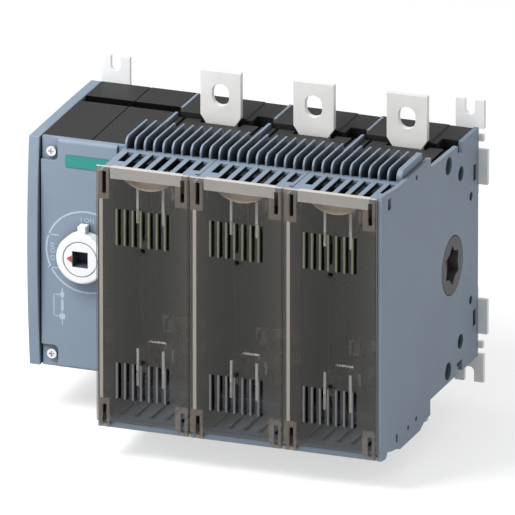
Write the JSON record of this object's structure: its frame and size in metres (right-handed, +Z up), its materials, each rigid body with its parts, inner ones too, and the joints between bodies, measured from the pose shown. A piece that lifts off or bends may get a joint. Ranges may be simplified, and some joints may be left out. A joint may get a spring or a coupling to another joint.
{
  "type": "fuse switch disconnector",
  "caption": "Rotary fuse switch disconnector with a side mechanism, hinged smoked fuse covers, a ribbed hood, terminal tabs and fork feet for a mounting plate.",
  "frame": {"origin": "on the mounting plane, midway between the four mounting forks", "axes": "+Y into the mounting plate, the front with the covers faces -Y; +Z up; +X right, the mechanism is at -X"},
  "size_m": [0.2564, 0.1759, 0.2084],
  "materials": {
    "housing_blue_grey": "fine spark-eroded matt moulding",
    "base_black": "matt moulded",
    "rotor_black": "matt moulded",
    "terminal_silver": "silver-plated, satin",
    "spring_steel": "zinc-plated",
    "zinc_sheet": "bright zinc-plated sheet",
    "cover_smoked": "smoked polycarbonate, gloss",
    "drum_white": "satin",
    "pointer_red": "printed",
    "label_blank": "bare satin foil"
  },
  "bodies": {
    "housing": {"contact_base_1": "base_black", "contact_base_2": "base_black", "contact_base_3": "base_black", "end_plate_right": "housing_blue_grey", "foot_screws": "spring_steel", "fuse_jaw_bottom_1": "terminal_silver", "fuse_jaw_bottom_2": "terminal_silver", "fuse_jaw_bottom_3": "terminal_silver", "fuse_jaw_top_1": "terminal_silver", "fuse_jaw_top_2": "terminal_silver", "fuse_jaw_top_3": "terminal_silver", "jaw_springs": "spring_steel", "label_plate": "label_blank", "line_terminal_1": "terminal_silver", "line_terminal_2": "terminal_silver", "line_terminal_3": "terminal_silver", "load_terminal_1": "terminal_silver", "load_terminal_2": "terminal_silver", "load_terminal_3": "terminal_silver", "mech_case_left": "base_black", "mech_case_right": "base_black", "mech_front_plate": "housing_blue_grey", "mech_screws": "spring_steel", "mech_side_shell": "housing_blue_grey", "mount_foot_bottom_left": "zinc_sheet", "mount_foot_bottom_right": "zinc_sheet", "mount_foot_top_left": "zinc_sheet", "mount_foot_top_right": "zinc_sheet", "pole_housing_1": "housing_blue_grey", "pole_housing_2": "housing_blue_grey", "pole_housing_3": "housing_blue_grey", "rear_cover_bottom_1": "base_black", "rear_cover_bottom_2": "base_black", "rear_cover_bottom_3": "base_black", "rear_cover_top_1": "base_black", "rear_cover_top_2": "base_black", "rear_cover_top_3": "base_black", "tie_rods": "spring_steel"},
    "handle": {"operating_drum": "drum_white", "pointer_arrow": "pointer_red", "drive_bevel_gear": "rotor_black"},
    "shaft": {"switch_shaft": "spring_steel", "coupling_hub": "rotor_black", "driven_bevel_gear": "rotor_black", "contact_rotor_1": "rotor_black", "contact_rotor_2": "rotor_black", "contact_rotor_3": "rotor_black", "rotor_blades_1": "terminal_silver", "rotor_blades_2": "terminal_silver", "rotor_blades_3": "terminal_silver"},
    "cover_1": {"fuse_cover_1": "cover_smoked", "hinge_pin_1": "spring_steel"},
    "cover_2": {"fuse_cover_2": "cover_smoked", "hinge_pin_2": "spring_steel"},
    "cover_3": {"fuse_cover_3": "cover_smoked", "hinge_pin_3": "spring_steel"}
  },
  "joints": [
    {"name": "handle_turn", "type": "hinge", "parent": "housing", "child": "handle", "pos_m": [-0.09405, -0.1, 0], "axis": [0, 1, 0], "range_deg": [0, 90]},
    {"name": "shaft_turn", "type": "hinge", "parent": "housing", "child": "shaft", "pos_m": [0, -0.049, 0], "axis": [1, 0, 0], "range_deg": [0, 90]},
    {"name": "cover_1_swing", "type": "hinge", "parent": "housing", "child": "cover_1", "pos_m": [0, -0.169, -0.0815], "axis": [1, 0, 0], "range_deg": [0, 95]},
    {"name": "cover_2_swing", "type": "hinge", "parent": "housing", "child": "cover_2", "pos_m": [0, -0.169, -0.0815], "axis": [1, 0, 0], "range_deg": [0, 95]},
    {"name": "cover_3_swing", "type": "hinge", "parent": "housing", "child": "cover_3", "pos_m": [0, -0.169, -0.0815], "axis": [1, 0, 0], "range_deg": [0, 95]}
  ],
  "couplings": [
    {"joint": "shaft_turn", "follows": "handle_turn", "ratio": 1}
  ]
}
